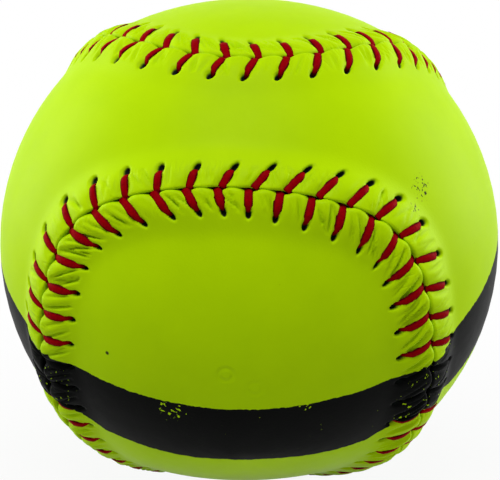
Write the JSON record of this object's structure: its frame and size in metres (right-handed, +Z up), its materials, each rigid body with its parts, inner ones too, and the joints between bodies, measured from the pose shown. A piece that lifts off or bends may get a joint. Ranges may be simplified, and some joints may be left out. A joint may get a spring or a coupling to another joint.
{
  "type": "softball",
  "caption": "Stitched softball: optic yellow figure-eight covers sewn with raised red chevron stitching, with a black stripe, over a wound core.",
  "frame": {"origin": "centre of the ball", "axes": "+Z up as the ball lies in the picture, -Y towards the camera, +X to the camera's right"},
  "size_m": [0.097, 0.097, 0.0986],
  "materials": {
    "cork_core": "matt pressed cork and rubber",
    "yarn": "twisted yarn, tightly wound",
    "cement": "dried latex cement",
    "cover_leather": "fine-grained optic yellow leather with a black painted stripe",
    "red_thread": "waxed twisted thread"
  },
  "bodies": {
    "root": {"core": "cork_core", "yarn_winding": "yarn", "cement_coat": "cement", "front_cover": "cover_leather", "back_cover": "cover_leather", "first_thread": "red_thread", "second_thread": "red_thread"}
  },
  "joints": []
}
